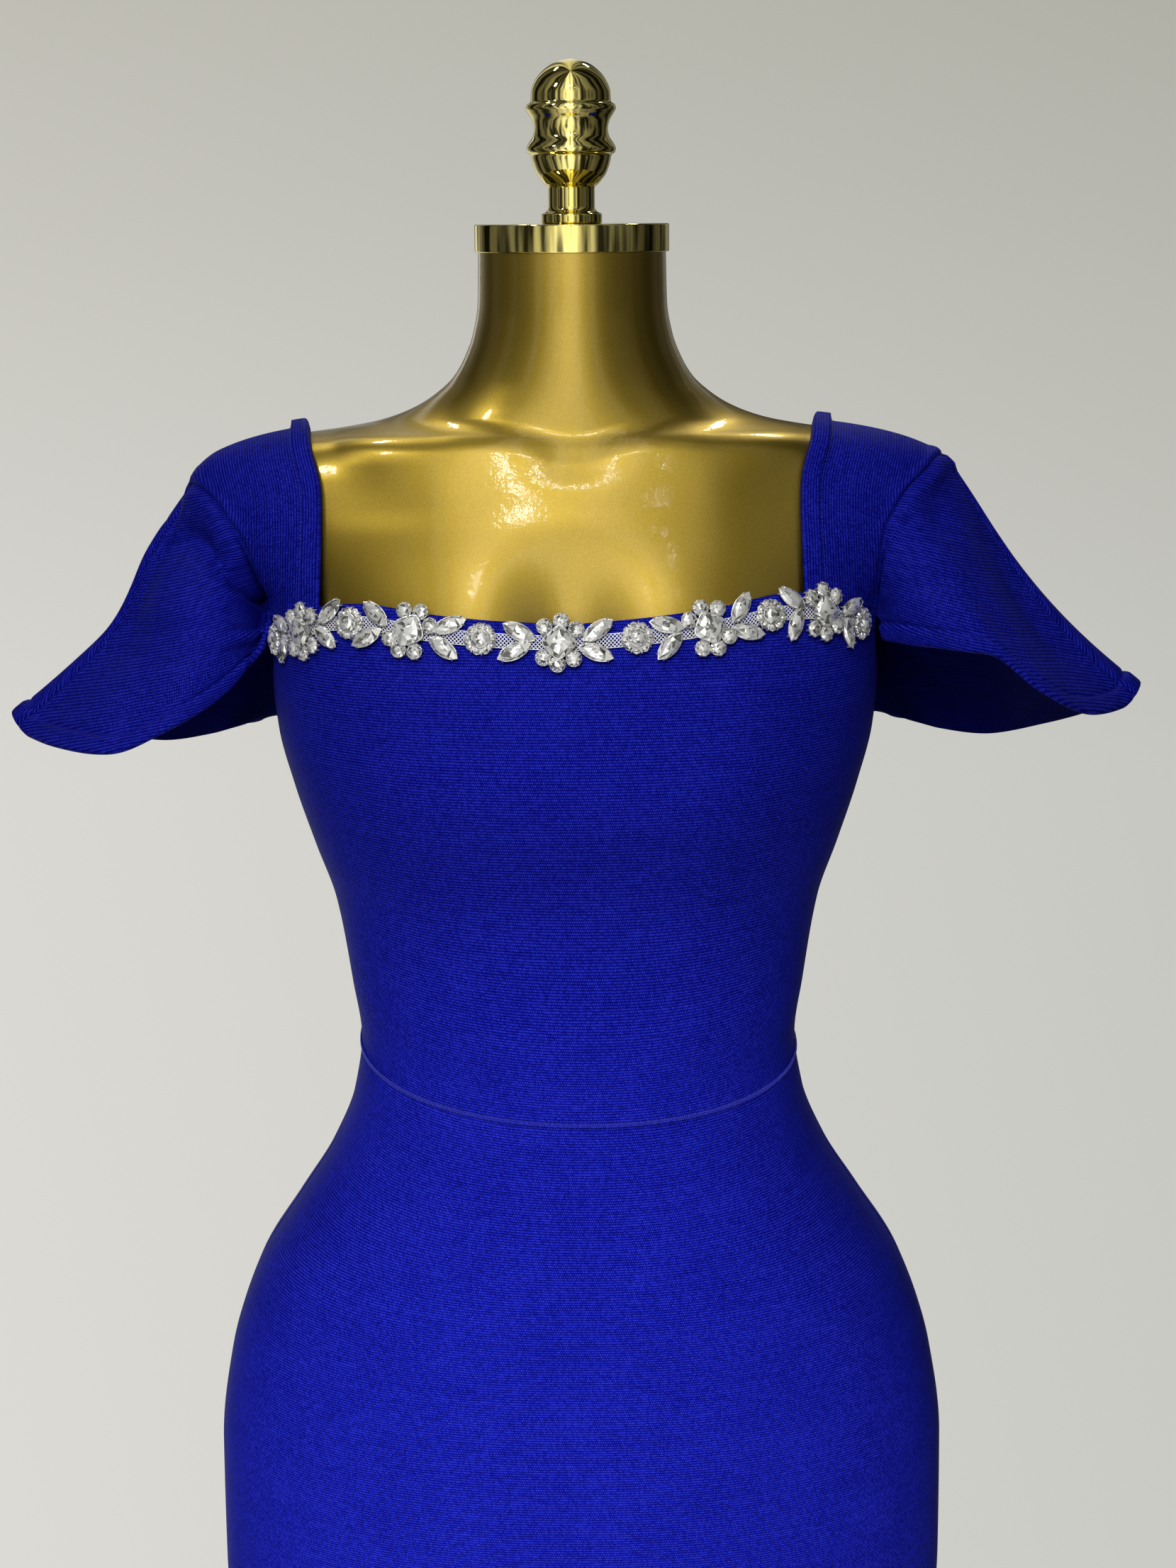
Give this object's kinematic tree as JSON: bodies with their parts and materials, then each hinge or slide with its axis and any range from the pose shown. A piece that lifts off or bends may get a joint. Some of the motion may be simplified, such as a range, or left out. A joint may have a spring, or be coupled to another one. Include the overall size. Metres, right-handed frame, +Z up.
{
  "type": "bodycon dress with flared cap sleeves, on a limbless dress form",
  "caption": "Fitted ribbed knit dress with a square neckline, flared cap sleeves and a trim of set stones, worn by a limbless dress form on a pole and round base.",
  "frame": {"origin": "on the floor, at the middle of the base's underside", "axes": "+Z up, the front of the dress faces -Y, +X is to the right of someone who looks at the front"},
  "size_m": [0.5747, 0.38, 1.5502],
  "materials": {
    "royal_blue_knit": "ribbed knit with a slight sheen",
    "silver_net": "stiff net tape",
    "clear_crystal": "faceted clear stones in metal settings",
    "gold_paint": "glossy metallic gold with fine flakes",
    "polished_gold": "polished"
  },
  "bodies": {
    "root": {"bodice_back": "royal_blue_knit", "bodice_front": "royal_blue_knit", "form_base": "polished_gold", "form_collar": "polished_gold", "form_finial": "polished_gold", "form_neck_cap": "polished_gold", "form_pole": "polished_gold", "form_torso": "gold_paint", "skirt_back": "royal_blue_knit", "skirt_front": "royal_blue_knit", "sleeve_left_back": "royal_blue_knit", "sleeve_left_front": "royal_blue_knit", "sleeve_right_back": "royal_blue_knit", "sleeve_right_front": "royal_blue_knit", "strap_left": "royal_blue_knit", "strap_right": "royal_blue_knit", "trim_flower_1": "clear_crystal", "trim_flower_2": "clear_crystal", "trim_flower_3": "clear_crystal", "trim_flower_4": "clear_crystal", "trim_flower_5": "clear_crystal", "trim_leaf_1_minus_high": "clear_crystal", "trim_leaf_1_minus_low": "clear_crystal", "trim_leaf_1_plus_high": "clear_crystal", "trim_leaf_1_plus_low": "clear_crystal", "trim_leaf_2_minus_high": "clear_crystal", "trim_leaf_2_minus_low": "clear_crystal", "trim_leaf_2_plus_high": "clear_crystal", "trim_leaf_2_plus_low": "clear_crystal", "trim_leaf_3_minus_high": "clear_crystal", "trim_leaf_3_minus_low": "clear_crystal", "trim_leaf_3_plus_high": "clear_crystal", "trim_leaf_3_plus_low": "clear_crystal", "trim_leaf_4_minus_high": "clear_crystal", "trim_leaf_4_minus_low": "clear_crystal", "trim_leaf_4_plus_high": "clear_crystal", "trim_leaf_4_plus_low": "clear_crystal", "trim_leaf_5_minus_high": "clear_crystal", "trim_leaf_5_minus_low": "clear_crystal", "trim_leaf_5_plus_high": "clear_crystal", "trim_leaf_5_plus_low": "clear_crystal", "trim_rosette_1": "clear_crystal", "trim_rosette_2": "clear_crystal", "trim_rosette_3": "clear_crystal", "trim_rosette_4": "clear_crystal", "trim_rosette_5": "clear_crystal", "trim_rosette_6": "clear_crystal", "trim_tape": "silver_net"}
  },
  "joints": []
}
